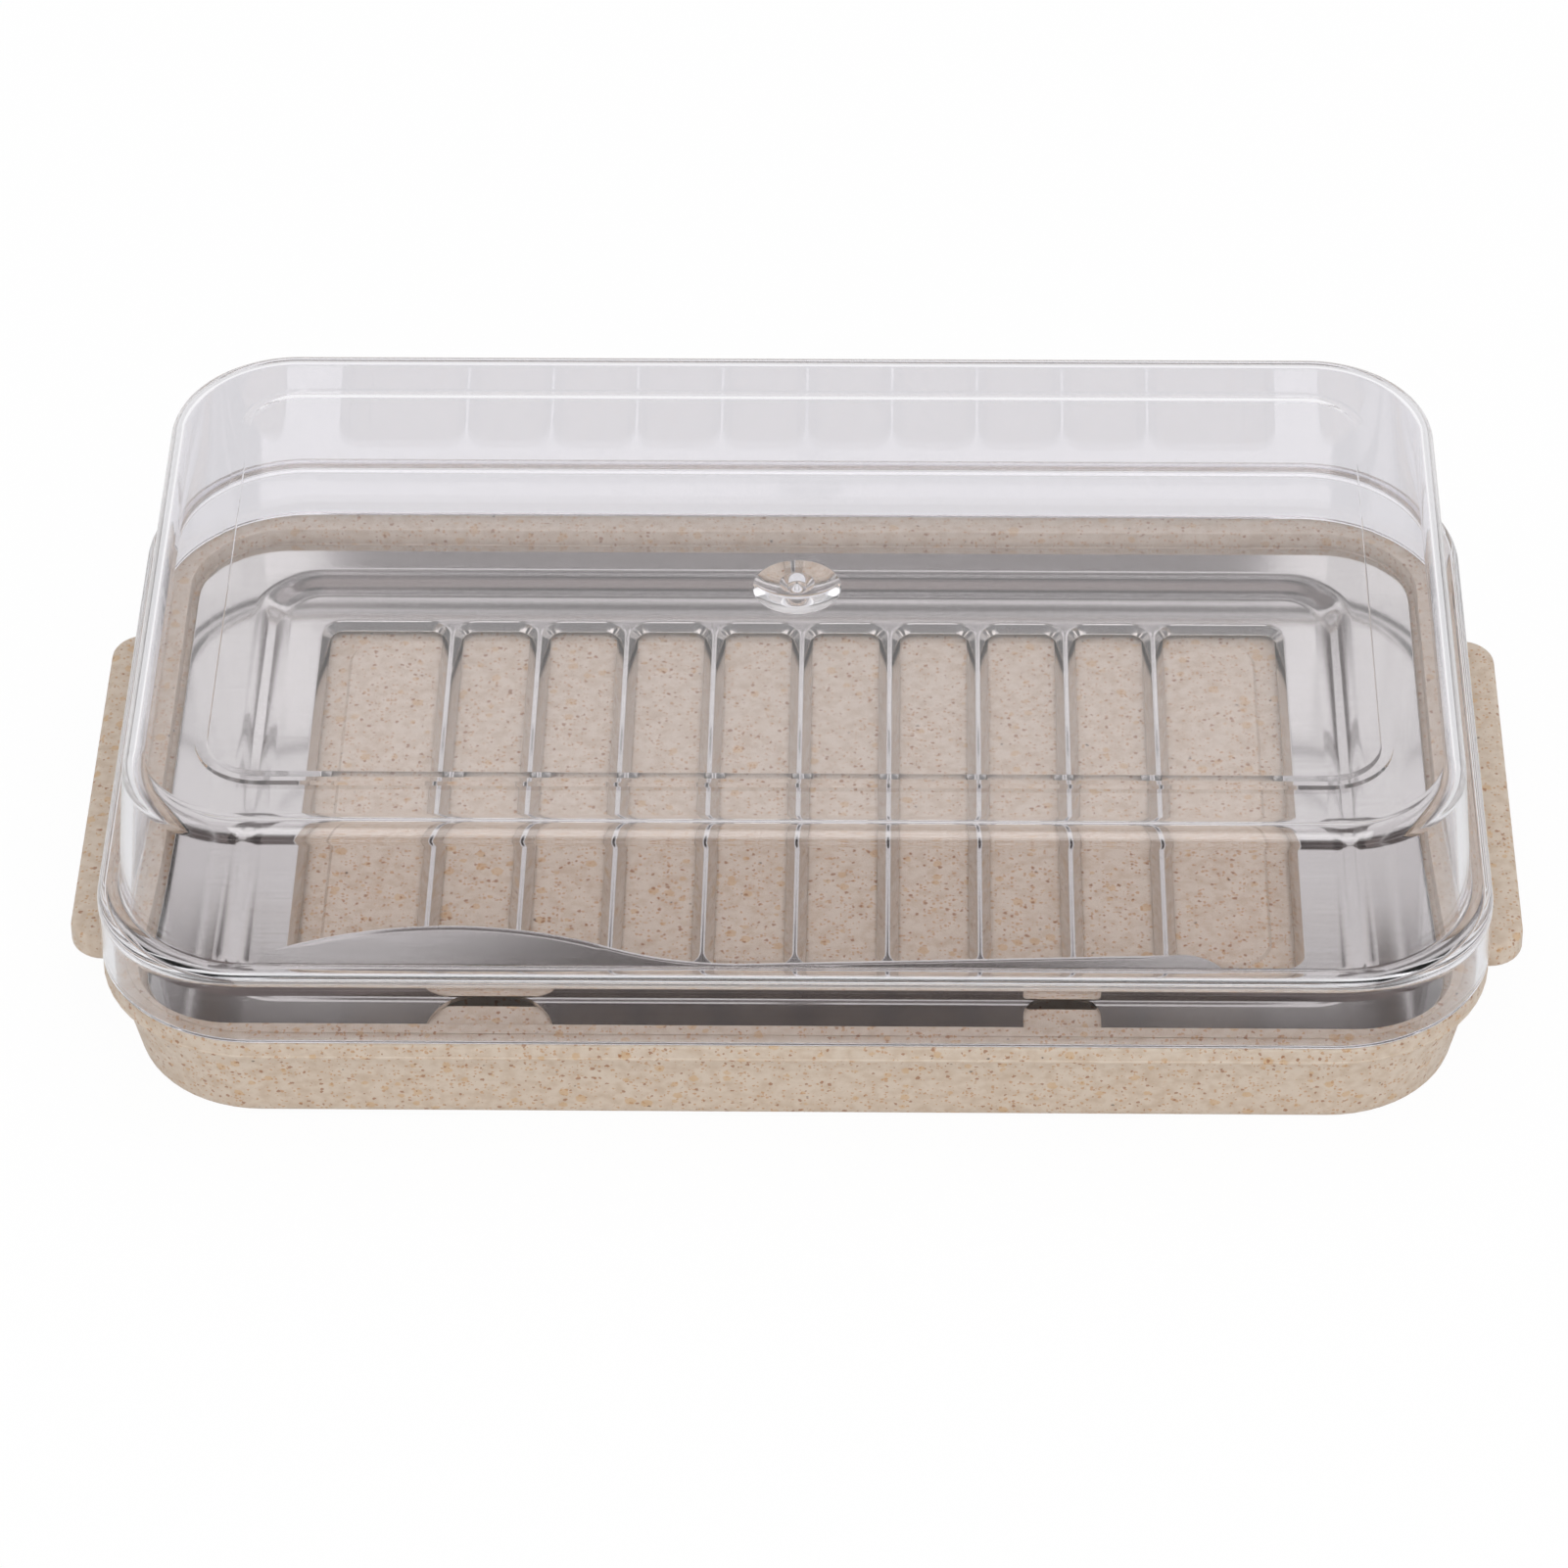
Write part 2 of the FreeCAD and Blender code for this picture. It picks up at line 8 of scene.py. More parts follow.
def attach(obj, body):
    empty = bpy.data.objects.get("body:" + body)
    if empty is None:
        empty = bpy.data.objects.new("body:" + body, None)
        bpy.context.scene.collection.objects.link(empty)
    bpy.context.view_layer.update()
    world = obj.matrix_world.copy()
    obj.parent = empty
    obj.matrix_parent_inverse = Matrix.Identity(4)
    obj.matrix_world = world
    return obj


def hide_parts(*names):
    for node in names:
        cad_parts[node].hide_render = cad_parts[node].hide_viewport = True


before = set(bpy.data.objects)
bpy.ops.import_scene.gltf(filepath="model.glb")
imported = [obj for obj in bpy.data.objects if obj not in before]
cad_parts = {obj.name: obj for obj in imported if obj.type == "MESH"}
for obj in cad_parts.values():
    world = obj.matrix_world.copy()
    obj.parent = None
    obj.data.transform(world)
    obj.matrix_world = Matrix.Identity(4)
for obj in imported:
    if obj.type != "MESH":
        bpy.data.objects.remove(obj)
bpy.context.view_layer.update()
mm = 0.001
weldGap = 1e-7
levelGap = 1e-6
creaseAngle = 35
print("frame loaded:", sorted(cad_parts))


# Meshes: everything below is written in millimetres and made in metres

def outline(halfX, halfY, corner, z, arcSteps, middle=(0.0, 0.0)):
    points = []
    for quarter, (sideX, sideY) in enumerate(((1, -1), (1, 1), (-1, 1), (-1, -1))):
        centreX = middle[0] + sideX * (halfX - corner)
        centreY = middle[1] + sideY * (halfY - corner)
        for step in range(arcSteps + 1):
            turn = math.radians(90 * (quarter - 1 + step / arcSteps))
            points.append((centreX + corner * math.cos(turn), centreY + corner * math.sin(turn), z))
    return points


# A corner is (outline, outward shift, height, radius). Guard rings beside each arc keep the flats
# flat in shading.
def softRings(corners, arcSteps=6, guard=0.06):
    spots = [(shape[0] + shift, shape[1] + shift, shape[2] + shift, z, radius)
             for shape, shift, z, radius in corners]
    rings = []
    for place, (halfX, halfY, corner, z, radius) in enumerate(spots):
        if radius == 0:
            rings.append((halfX, halfY, corner, z))
            continue
        here = Vector((halfX, z))
        toBefore = (Vector((spots[place - 1][0], spots[place - 1][3])) - here).normalized()
        toAfter = (Vector((spots[place + 1][0], spots[place + 1][3])) - here).normalized()
        opening = toBefore.angle(toAfter)
        reach = radius / math.tan(opening / 2)
        centre = here + (toBefore + toAfter).normalized() * radius / math.sin(opening / 2)
        start = here + toBefore * reach - centre
        end = here + toAfter * reach - centre
        sweep = start.angle_signed(end)
        spread = [start.copy() for _ in range(arcSteps + 1)]
        for step, spoke in enumerate(spread):
            spoke.rotate(Matrix.Rotation(-sweep * step / arcSteps, 2))
        line = [here + toBefore * (reach + guard)] + [centre + spoke for spoke in spread]
        line.append(here + toAfter * (reach + guard))
        for spot in line:
            shift = spot.x - halfX
            rings.append((halfX + shift, halfY + shift, corner + shift, spot.y))
    return rings


def ringLoft(rings, arcSteps, middle=(0.0, 0.0), closeStart=True, closeEnd=True):
    around = 4 * (arcSteps + 1)
    points = []
    for halfX, halfY, corner, z in rings:
        points += outline(halfX, halfY, corner, z, arcSteps, middle)
    faces = []
    for level in range(len(rings) - 1):
        low = level * around
        high = low + around
        for step in range(around):
            after = (step + 1) % around
            faces.append((low + step, low + after, high + after, high + step))
    if closeStart:
        faces.append(tuple(reversed(range(around))))
    if closeEnd:
        faces.append(tuple(range(len(points) - around, len(points))))
    return points, faces


def addPiece(name, points, faces, material, sharpAngle=creaseAngle):
    mesh = bpy.data.meshes.new(name)
    mesh.from_pydata([Vector(point) * mm for point in points], [], faces)
    mesh.validate()
    return addObject(name, mesh, material, sharpAngle)


def addObject(name, mesh, material, sharpAngle=creaseAngle):
    work = bmesh.new()
    work.from_mesh(mesh)
    bmesh.ops.remove_doubles(work, verts=work.verts, dist=weldGap)
    bmesh.ops.recalc_face_normals(work, faces=work.faces)
    work.to_mesh(mesh)
    work.free()
    mesh.shade_smooth()
    mesh.set_sharp_from_angle(angle=math.radians(sharpAngle))
    mesh.materials.clear()
    mesh.materials.append(material)
    piece = bpy.data.objects.new(name, mesh)
    bpy.context.scene.collection.objects.link(piece)
    return piece


# Materials

def srgb(text):
    channels = [int(text[place:place + 2], 16) / 255 for place in (1, 3, 5)]
    linear = [c / 12.92 if c <= 0.04045 else ((c + 0.055) / 1.055) ** 2.4 for c in channels]
    return (*linear, 1.0)


def addNode(tree, kind, settings=None, links=None):
    node = tree.nodes.new(kind)
    for key, value in (settings or {}).items():
        if isinstance(key, str) and hasattr(node, key):
            setattr(node, key, value)
        else:
            node.inputs[key].default_value = value
    for key, source in (links or {}).items():
        tree.links.new(source, node.inputs[key])
    return node


def newMaterial(name):
    material = bpy.data.materials.new(name)
    material.use_nodes = True
    tree = material.node_tree
    tree.nodes.clear()
    return material, tree


def finishMaterial(tree, shader):
    addNode(tree, "ShaderNodeOutputMaterial", links={"Surface": shader.outputs["BSDF"]})


# Polypropylene filled with ground wheat straw, injection moulded: satin, warm grey-tan,
# with fine ochre husk specks all through it and a few dark ones
strawLook = {
    "plain": "#cdbeae", "mottle": "#c0ac98", "mottleSize": 1.6, "mottleFrom": 0.4, "mottleTo": 0.7,
    "ragged": 0.6, "raggedSize": 0.5, "speckEdge": 0.08,
    "grainSize": 0.35, "grainDepth": 0.05, "grainBump": 0.12,
    "smoothest": 0.4, "roughest": 0.54, "ior": 1.49,
    # Each layer of specks: colour, spacing, share of the cells left bare, widest speck and strength
    "specks": (("#c39a66", 2.1, 0.3, 0.42, 0.5), ("#b4814e", 0.55, 0.22, 0.5, 0.6),
               ("#90592d", 0.95, 0.4, 0.36, 0.72), ("#4f3f35", 2.3, 0.35, 0.13, 0.9)),
}


def makeStrawPlastic(look):
    material, tree = newMaterial("strawFilledPolypropylene")
    place = addNode(tree, "ShaderNodeTexCoord").outputs["Object"]
    ragged = addNode(tree, "ShaderNodeTexNoise", {"Scale": 1 / (look["raggedSize"] * mm), "Detail": 2.0},
                     {"Vector": place})
    centred = addNode(tree, "ShaderNodeVectorMath", {"operation": "SUBTRACT", 1: (0.5, 0.5, 0.5)},
                      {0: ragged.outputs["Color"]})
    warp = addNode(tree, "ShaderNodeVectorMath", {"operation": "SCALE", "Scale": look["ragged"] * mm},
                   {0: centred.outputs[0]})
    bent = addNode(tree, "ShaderNodeVectorMath", {"operation": "ADD"}, {0: place, 1: warp.outputs[0]})
    cloud = addNode(tree, "ShaderNodeTexNoise", {"Scale": 1 / (look["mottleSize"] * mm), "Detail": 3.0},
                    {"Vector": place})
    mottle = addNode(tree, "ShaderNodeMapRange",
                     {"From Min": look["mottleFrom"], "From Max": look["mottleTo"]},
                     {"Value": cloud.outputs["Fac"]})
    colour = addNode(tree, "ShaderNodeMix",
                     {"data_type": "RGBA", 6: srgb(look["plain"]), 7: srgb(look["mottle"])},
                     {0: mottle.outputs[0]}).outputs[2]
    # Each layer is a scatter of cells, some of them filled to a random size
    for shade, spacing, bare, width, strength in look["specks"]:
        cells = addNode(tree, "ShaderNodeTexVoronoi", {"Scale": 1 / (spacing * mm)},
                        {"Vector": bent.outputs[0]})
        chance = addNode(tree, "ShaderNodeSeparateColor", links={"Color": cells.outputs["Color"]})
        limit = addNode(tree, "ShaderNodeMapRange", {"From Min": bare, "From Max": 1.0, "To Max": width},
                        {"Value": chance.outputs["Red"]})
        inside = addNode(tree, "ShaderNodeMath", {"operation": "SUBTRACT"},
                         {0: limit.outputs[0], 1: cells.outputs["Distance"]})
        speck = addNode(tree, "ShaderNodeMapRange",
                        {"From Min": 0.0, "From Max": look["speckEdge"], "To Max": strength},
                        {"Value": inside.outputs[0]})
        colour = addNode(tree, "ShaderNodeMix", {"data_type": "RGBA", 7: srgb(shade)},
                         {0: speck.outputs[0], 6: colour}).outputs[2]
    grain = addNode(tree, "ShaderNodeTexNoise", {"Scale": 1 / (look["grainSize"] * mm), "Detail": 2.0},
                    {"Vector": place})
    bump = addNode(tree, "ShaderNodeBump",
                   {"Strength": look["grainBump"], "Distance": look["grainDepth"] * mm},
                   {"Height": grain.outputs["Fac"]})
    satin = addNode(tree, "ShaderNodeMapRange", {"To Min": look["smoothest"], "To Max": look["roughest"]},
                    {"Value": cloud.outputs["Fac"]})
    finishMaterial(tree, addNode(tree, "ShaderNodeBsdfPrincipled", {"IOR": look["ior"]},
                                 {"Base Color": colour, "Roughness": satin.outputs[0],
                                  "Normal": bump.outputs[0]}))
    return material


# Clear styrene-acrylonitrile, injection moulded and polished: glossy, faintly violet where it is seen
# edge-on, with the slight waviness that cooling leaves
clearLook = {"tint": "#f7f6f9", "roughness": 0.015, "ior": 1.57,
             "waveSize": 24.0, "waveDepth": 1.0, "waveStrength": 0.005}


def makeClearPlastic(look):
    material, tree = newMaterial("clearStyreneAcrylonitrile")
    place = addNode(tree, "ShaderNodeTexCoord").outputs["Object"]
    wave = addNode(tree, "ShaderNodeTexNoise", {"Scale": 1 / (look["waveSize"] * mm), "Detail": 1.0},
                   {"Vector": place})
    bump = addNode(tree, "ShaderNodeBump",
                   {"Strength": look["waveStrength"], "Distance": look["waveDepth"] * mm},
                   {"Height": wave.outputs["Fac"]})
    shader = addNode(tree, "ShaderNodeBsdfPrincipled",
                     {"Base Color": srgb(look["tint"]), "Roughness": look["roughness"], "IOR": look["ior"],
                      "Transmission Weight": 1.0}, {"Normal": bump.outputs[0]})
    finishMaterial(tree, shader)
    return material


# Stainless sheet, cold rolled: a bright satin mirror with fine lines along the rolling direction, which are
# drawn coarser than the real 0.05 mm so that they show
steelLook = {"colour": "#dedbd8", "dull": "#d4d0cc", "lineWidth": 0.35, "lineLength": 28.0,
             "lineDepth": 0.02, "lineBump": 0.02, "smoothest": 0.07, "roughest": 0.12}


def makeSteel(name, look):
    material, tree = newMaterial(name)
    place = addNode(tree, "ShaderNodeTexCoord").outputs["Object"]
    across = 1 / (look["lineWidth"] * mm)
    along = addNode(tree, "ShaderNodeMapping", {"Scale": (1 / (look["lineLength"] * mm), across, across)},
                    {"Vector": place})
    lines = addNode(tree, "ShaderNodeTexNoise", {"Scale": 1.0, "Detail": 3.0}, {"Vector": along.outputs[0]})
    colour = addNode(tree, "ShaderNodeMix",
                     {"data_type": "RGBA", 6: srgb(look["colour"]), 7: srgb(look["dull"])},
                     {0: lines.outputs["Fac"]}).outputs[2]
    rough = addNode(tree, "ShaderNodeMapRange", {"To Min": look["smoothest"], "To Max": look["roughest"]},
                    {"Value": lines.outputs["Fac"]})
    bump = addNode(tree, "ShaderNodeBump",
                   {"Strength": look["lineBump"], "Distance": look["lineDepth"] * mm},
                   {"Height": lines.outputs["Fac"]})
    finishMaterial(tree, addNode(tree, "ShaderNodeBsdfPrincipled", {"Metallic": 1.0},
                                 {"Base Color": colour, "Roughness": rough.outputs[0],
                                  "Normal": bump.outputs[0]}))
    return material


strawPlastic = makeStrawPlastic(strawLook)
clearPlastic = makeClearPlastic(clearLook)
sheetSteel = makeSteel("rolledStainlessSheet", steelLook)
knifeLook = {**steelLook, "lineLength": 9.0, "smoothest": 0.08, "roughest": 0.13}
knifeSteel = makeSteel("groundStainlessBlade", knifeLook)
print("materials made")


# Base dish: one skin from the hollow under the platform, round the outside, to the platform's top
dish = {
    "flange": (90.0, 56.2, 21.0), "opening": (85.0, 51.6, 13.0), "platform": (68.0, 36.4, 6.0),
    "pad": (62.1, 33.0, 4.5), "padEdge": 0.4, "padTop": 10.7, "padRound": 0.25, "padFlat": 1.2,
    "hollow": (65.6, 34.0, 5.2), "hollowRoof": 8.3, "hollowLean": 0.8,
    "hollowRound": 0.8, "hollowFlat": 3.0,
    "footInset": 4.2, "footRound": 2.0, "footFlat": 4.0, "soleRound": 0.5, "soleFlat": 1.2,
    "bodyInset": 1.3, "flangeUnder": 13.2, "flangeTop": 15.7, "flangeFillet": 0.3, "flangeRound": 0.5,
    "flash": 0.15, "flashHeight": 0.3, "flashEnd": 0.45, "flashRound": 0.1, "flashTopRound": 0.12,
    "ribSetback": 2.8, "ribTop": 15.95, "ribFillet": 0.08, "ribRound": 0.1,
    "ribInnerRound": 0.2, "ribFlat": 0.3,
    "ledge": 13.3, "ledgeWidth": 6.6, "ledgeFillet": 0.3, "ledgeRound": 0.4,
    "wallDraft": 1.4, "floor": 2.4, "floorFillet": 1.8, "floorFlat": 2.4,
    "platformTop": 10.3, "platformDraft": 0.8, "platformRound": 0.5,
    "platformFillet": 1.0, "platformFlat": 2.0,
    "arcSteps": 14,
}


def makeBaseDish(s):
    flange, opening, platform, pad, hollow = (
        s[name] for name in ("flange", "opening", "platform", "pad", "hollow"))
    sole, under = s["hollowLean"], s["flangeUnder"]
    moatFoot = -s["ledgeWidth"] - s["wallDraft"]
    corners = [
        (hollow, -s["hollowFlat"], s["hollowRoof"], 0), (hollow, 0, s["hollowRoof"], s["hollowRound"]),
        (hollow, sole, 0, s["soleRound"]), (hollow, sole + s["soleFlat"], 0, 0),
        (flange, -s["footInset"] - s["footFlat"], 0, 0), (flange, -s["footInset"], 0, s["footRound"]),
        (flange, -s["bodyInset"], under, s["flangeFillet"]), (flange, s["flash"], under, s["flashRound"]),
        (flange, s["flash"], under + s["flashHeight"], s["flashTopRound"]),
        (flange, 0, under + s["flashEnd"], s["flashRound"]),
        (flange, 0, s["flangeTop"], s["flangeRound"]),
        (flange, -s["ribSetback"], s["flangeTop"], s["ribFillet"]),
        (flange, -s["ribSetback"], s["ribTop"], s["ribRound"]),
        (flange, -s["ribSetback"] - s["ribFlat"], s["ribTop"], 0),
        (opening, s["ribFlat"], s["ribTop"], 0), (opening, 0, s["ribTop"], s["ribInnerRound"]),
        (opening, 0, s["ledge"], s["ledgeFillet"]),
        (opening, -s["ledgeWidth"], s["ledge"], s["ledgeRound"]),
        (opening, moatFoot, s["floor"], s["floorFillet"]),
        (opening, moatFoot - s["floorFlat"], s["floor"], 0),
        (platform, s["platformDraft"] + s["platformFlat"], s["floor"], 0),
        (platform, s["platformDraft"], s["floor"], s["platformFillet"]),
        (platform, 0, s["platformTop"], s["platformRound"]),
        (pad, s["padEdge"], s["platformTop"], s["padRound"]), (pad, 0, s["padTop"], s["padRound"]),
        (pad, -s["padFlat"], s["padTop"], 0),
    ]
    points, faces = ringLoft(softRings(corners), s["arcSteps"])
    return addPiece("dishBody", points, faces, strawPlastic)


ears = {
    "reach": 95.3, "root": 82.6, "halfWidth": 32.75, "corner": 4.5, "top": 12.9, "under": 9.3, "edge": 0.8,
    "flat": 2.0, "arcSteps": 8,
}


def makeEars(s):
    allPoints, allFaces = [], []
    half = (s["reach"] - s["root"]) / 2
    shape = (half, s["halfWidth"], s["corner"])
    corners = [(shape, -s["flat"], s["under"], 0), (shape, 0, s["under"], s["edge"]),
               (shape, 0, s["top"], s["edge"]), (shape, -s["flat"], s["top"], 0)]
    for side in (-1, 1):
        points, faces = ringLoft(softRings(corners), s["arcSteps"], (side * (s["root"] + half), 0))
        allFaces += [tuple(index + len(allPoints) for index in face) for face in faces]
        allPoints += points
    return addPiece("gripEars", allPoints, allFaces, strawPlastic)


dishBody = makeBaseDish(dish)
gripEars = makeEars(ears)
for piece in (dishBody, gripEars):
    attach(piece, "base")
    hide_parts("base_dish")
print("dish made:", len(dishBody.data.polygons), "faces")


# Slicer: a pressed sheet whose windows hang their edges down as blades
slicer = {
    "plate": (84.1, 50.7, 12.1), "pan": (72.6, 41.9, 6.0), "plateTop": 14.0, "panTop": 12.8, "gauge": 0.6,
    "edgeRound": 0.18, "edgeFlat": 0.6, "slope": 2.3, "slopeIn": 0.7, "bend": 5.5, "bendFlat": 1.8,
    "window": (5.8, 35.7, 3.0), "endWindow": (8.925, 35.7, 3.0), "windowMiddle": -0.8, "windowRim": 0.22,
    "windowCount": 8, "pitch": 12.1, "endPlace": 57.575,
    "bladeTip": 11.0, "lean": 1.3, "endLean": 0.4, "blade": 0.35, "tipRound": 0.1, "roll": 0.3,
    "thumbNotch": (-39.0, -51.2, 8.3), "fingerNotch": (34.6, -50.7, 5.0, 7.6, 4.3), "notchOver": 1.0,
    "arcSteps": 12, "windowArcSteps": 7, "rollSteps": 8, "rollGuard": 0.03,
}


def windowMesh(name, shape, s):
    under = s["panTop"] - s["gauge"]
    tip = (shape[0] - s["lean"], shape[1] - s["endLean"], shape[2] - s["lean"])
    backAtUnder = s["blade"] - s["lean"] * s["gauge"] / (s["panTop"] - s["bladeTip"])
    corners = [
        (shape, s["windowRim"], s["panTop"], 0), (shape, 0, s["panTop"], s["roll"]),
        (tip, 0, s["bladeTip"], s["tipRound"]), (tip, s["blade"], s["bladeTip"], s["tipRound"]),
        (shape, backAtUnder, under, 0), (shape, s["windowRim"], under, 0),
    ]
    points, faces = ringLoft(softRings(corners, s["rollSteps"], s["rollGuard"]), s["windowArcSteps"],
                             (0.0, s["windowMiddle"]), closeStart=False, closeEnd=False)
    mesh = bpy.data.meshes.new(name)
    mesh.from_pydata([Vector(point) * mm for point in points], [], faces)
    return mesh


# The row of windows: the middle ones along a line, and a wider one at each end
def windowRowTree(material):
    tree = bpy.data.node_groups.new("windowRow", "GeometryNodeTree")
    sockets = {}
    for name, kind, way in (("Geometry", "Geometry", "INPUT"), ("Count", "Int", "INPUT"),
                            ("Pitch", "Float", "INPUT"), ("End Window", "Object", "INPUT"),
                            ("End Place", "Float", "INPUT"), ("Result", "Geometry", "OUTPUT")):
        socket = tree.interface.new_socket(name, in_out=way, socket_type="NodeSocket" + kind)
        sockets[name] = socket.identifier
    given = addNode(tree, "NodeGroupInput").outputs
    lessOne = addNode(tree, "ShaderNodeMath", {"operation": "SUBTRACT", 1: 1.0}, {0: given["Count"]})
    span = addNode(tree, "ShaderNodeMath", {"operation": "MULTIPLY"},
                   {0: lessOne.outputs[0], 1: given["Pitch"]})
    first = addNode(tree, "ShaderNodeMath", {"operation": "MULTIPLY", 1: -0.5}, {0: span.outputs[0]})
    firstPlace = addNode(tree, "ShaderNodeCombineXYZ", links={"X": first.outputs[0]})
    stride = addNode(tree, "ShaderNodeCombineXYZ", links={"X": given["Pitch"]})
    line = addNode(tree, "GeometryNodeMeshLine",
                   links={"Count": given["Count"], "Start Location": firstPlace.outputs[0],
                          "Offset": stride.outputs[0]})
    middles = addNode(tree, "GeometryNodeInstanceOnPoints",
                      links={"Points": line.outputs[0], "Instance": given["Geometry"]})
    endLeft = addNode(tree, "ShaderNodeMath", {"operation": "MULTIPLY", 1: -1.0}, {0: given["End Place"]})
    endStart = addNode(tree, "ShaderNodeCombineXYZ", links={"X": endLeft.outputs[0]})
    endGap = addNode(tree, "ShaderNodeMath", {"operation": "MULTIPLY", 1: 2.0}, {0: given["End Place"]})
    endStride = addNode(tree, "ShaderNodeCombineXYZ", links={"X": endGap.outputs[0]})
    endLine = addNode(tree, "GeometryNodeMeshLine", {"Count": 2},
                      {"Start Location": endStart.outputs[0], "Offset": endStride.outputs[0]})
    endShape = addNode(tree, "GeometryNodeObjectInfo", links={"Object": given["End Window"]})
    ends = addNode(tree, "GeometryNodeInstanceOnPoints",
                   links={"Points": endLine.outputs[0], "Instance": endShape.outputs["Geometry"]})
    both = addNode(tree, "GeometryNodeJoinGeometry", links={0: ends.outputs[0]})
    tree.links.new(middles.outputs[0], both.inputs[0])
    real = addNode(tree, "GeometryNodeRealizeInstances", links={0: both.outputs[0]})
    painted = addNode(tree, "GeometryNodeSetMaterial", {"Material": material},
                      {"Geometry": real.outputs[0]})
    addNode(tree, "NodeGroupOutput", links={"Result": painted.outputs[0]})
    return tree, sockets


def makeWindowRow(s):
    tree, sockets = windowRowTree(sheetSteel)
    row = bpy.data.objects.new("windowRow", windowMesh("middleWindow", s["window"], s))
    end = bpy.data.objects.new("endWindow", windowMesh("endWindow", s["endWindow"], s))
    for item in (row, end):
        bpy.context.scene.collection.objects.link(item)
    modifier = row.modifiers.new("windowRow", "NODES")
    modifier.node_group = tree
    modifier[sockets["Count"]] = s["windowCount"]
    modifier[sockets["Pitch"]] = s["pitch"] * mm
    modifier[sockets["End Window"]] = end
    modifier[sockets["End Place"]] = s["endPlace"] * mm
    bpy.context.view_layer.update()
    mesh = bpy.data.meshes.new_from_object(row.evaluated_get(bpy.context.evaluated_depsgraph_get()))
    for item in (row, end):
        bpy.data.objects.remove(item)
    return mesh


def makeSlicer(s):
    under = s["panTop"] - s["gauge"]
    plateUnder = s["plateTop"] - s["gauge"]
    pan, plate = s["pan"], s["plate"]
    panFlat, plateFlat = -s["slopeIn"] - s["bendFlat"], s["slope"] + s["bendFlat"]
    corners = [
        (pan, panFlat, s["panTop"], 0), (pan, -s["slopeIn"], s["panTop"], s["bend"]),
        (pan, s["slope"], s["plateTop"], s["bend"]), (pan, plateFlat, s["plateTop"], 0),
        (plate, -s["edgeFlat"], s["plateTop"], 0), (plate, 0, s["plateTop"], s["edgeRound"]),
        (plate, 0, plateUnder, s["edgeRound"]), (plate, -s["edgeFlat"], plateUnder, 0),
        (pan, plateFlat, plateUnder, 0), (pan, s["slope"], plateUnder, s["bend"]),
        (pan, -s["slopeIn"], under, s["bend"]), (pan, panFlat, under, 0),
    ]
    points, faces = ringLoft(softRings(corners), s["arcSteps"], closeStart=False, closeEnd=False)
    rim = bpy.data.meshes.new("slicerRim")
    rim.from_pydata([Vector(point) * mm for point in points], [], faces)
    work = bmesh.new()
    work.from_mesh(rim)
    work.from_mesh(makeWindowRow(s))
    # The flat between the rim and the windows, above and below
    for level in (s["panTop"], under):
        loose = [edge for edge in work.edges if edge.is_boundary
                 and all(abs(vertex.co.z - level * mm) < levelGap for vertex in edge.verts)]
        bmesh.ops.triangle_fill(work, edges=loose, use_beauty=True, normal=(0, 0, 1))
    mesh = bpy.data.meshes.new("slicerSheet")
    work.to_mesh(mesh)
    work.free()
    sheet = addObject("slicerSheet", mesh, sheetSteel)
    cutNotches(sheet, s)
    return sheet


def cutNotches(sheet, s):
    thumbX, thumbY, thumbR = s["thumbNotch"]
    fingerX, fingerY, fingerHalf, fingerDeep, fingerCorner = s["fingerNotch"]
    bottom, top = s["bladeTip"], s["plateTop"] + s["notchOver"]
    for shape, middle in (((thumbR, thumbR, thumbR), (thumbX, thumbY)),
                          ((fingerHalf, fingerDeep, fingerCorner), (fingerX, fingerY))):
        points, faces = ringLoft([(*shape, bottom), (*shape, top)], s["arcSteps"], middle)
        cutter = addPiece("notchCutter", points, faces, sheetSteel)
        modifier = sheet.modifiers.new("notch", "BOOLEAN")
        modifier.operation = "DIFFERENCE"
        modifier.solver = "EXACT"
        modifier.object = cutter
        bpy.context.view_layer.update()
        mesh = bpy.data.meshes.new_from_object(sheet.evaluated_get(bpy.context.evaluated_depsgraph_get()))
        sheet.modifiers.clear()
        sheet.data = mesh
        bpy.data.objects.remove(cutter)
    mesh.materials.clear()
    mesh.materials.append(sheetSteel)
    mesh.shade_smooth()
    mesh.set_sharp_from_angle(angle=math.radians(creaseAngle))


slicerSheet = makeSlicer(slicer)
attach(slicerSheet, "slicer")
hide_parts("slicer")
print("slicer made:", len(slicerSheet.data.polygons), "faces")


# Butter knife: straight spine, bellied blade, waist and flared handle, with the belly ground on top
knife = {
    "spineY": -41.8, "under": 12.9, "top": 14.2, "tipX": -66.3, "tipRadius": 3.5, "bellyRadius": 55.0,
    "bladeWidth": 11.6, "waistRadius": 45.0, "handleX": 50.3, "handleWidth": 6.5, "handleAngle": 2.2,
    "groundWidth": 0.9, "groundDepth": 0.17, "handleGround": 0.6, "edge": 0.14, "edgeFlat": 2.5,
    "handleSteps": 16, "edgeSteps": 12, "waistSteps": 20, "bellySteps": 40, "fadeSteps": 4,
    "tipSteps": 12, "spineSteps": 40, "sharpAngle": 20,
}


def arcPoints(centre, radius, start, end, count):
    first = math.atan2(start.y - centre.y, start.x - centre.x)
    last = math.atan2(end.y - centre.y, end.x - centre.x)
    turn = (last - first + math.pi) % (2 * math.pi) - math.pi
    angles = [first + turn * step / count for step in range(count + 1)]
    return [centre + Vector((math.cos(angle), math.sin(angle))) * radius for angle in angles]


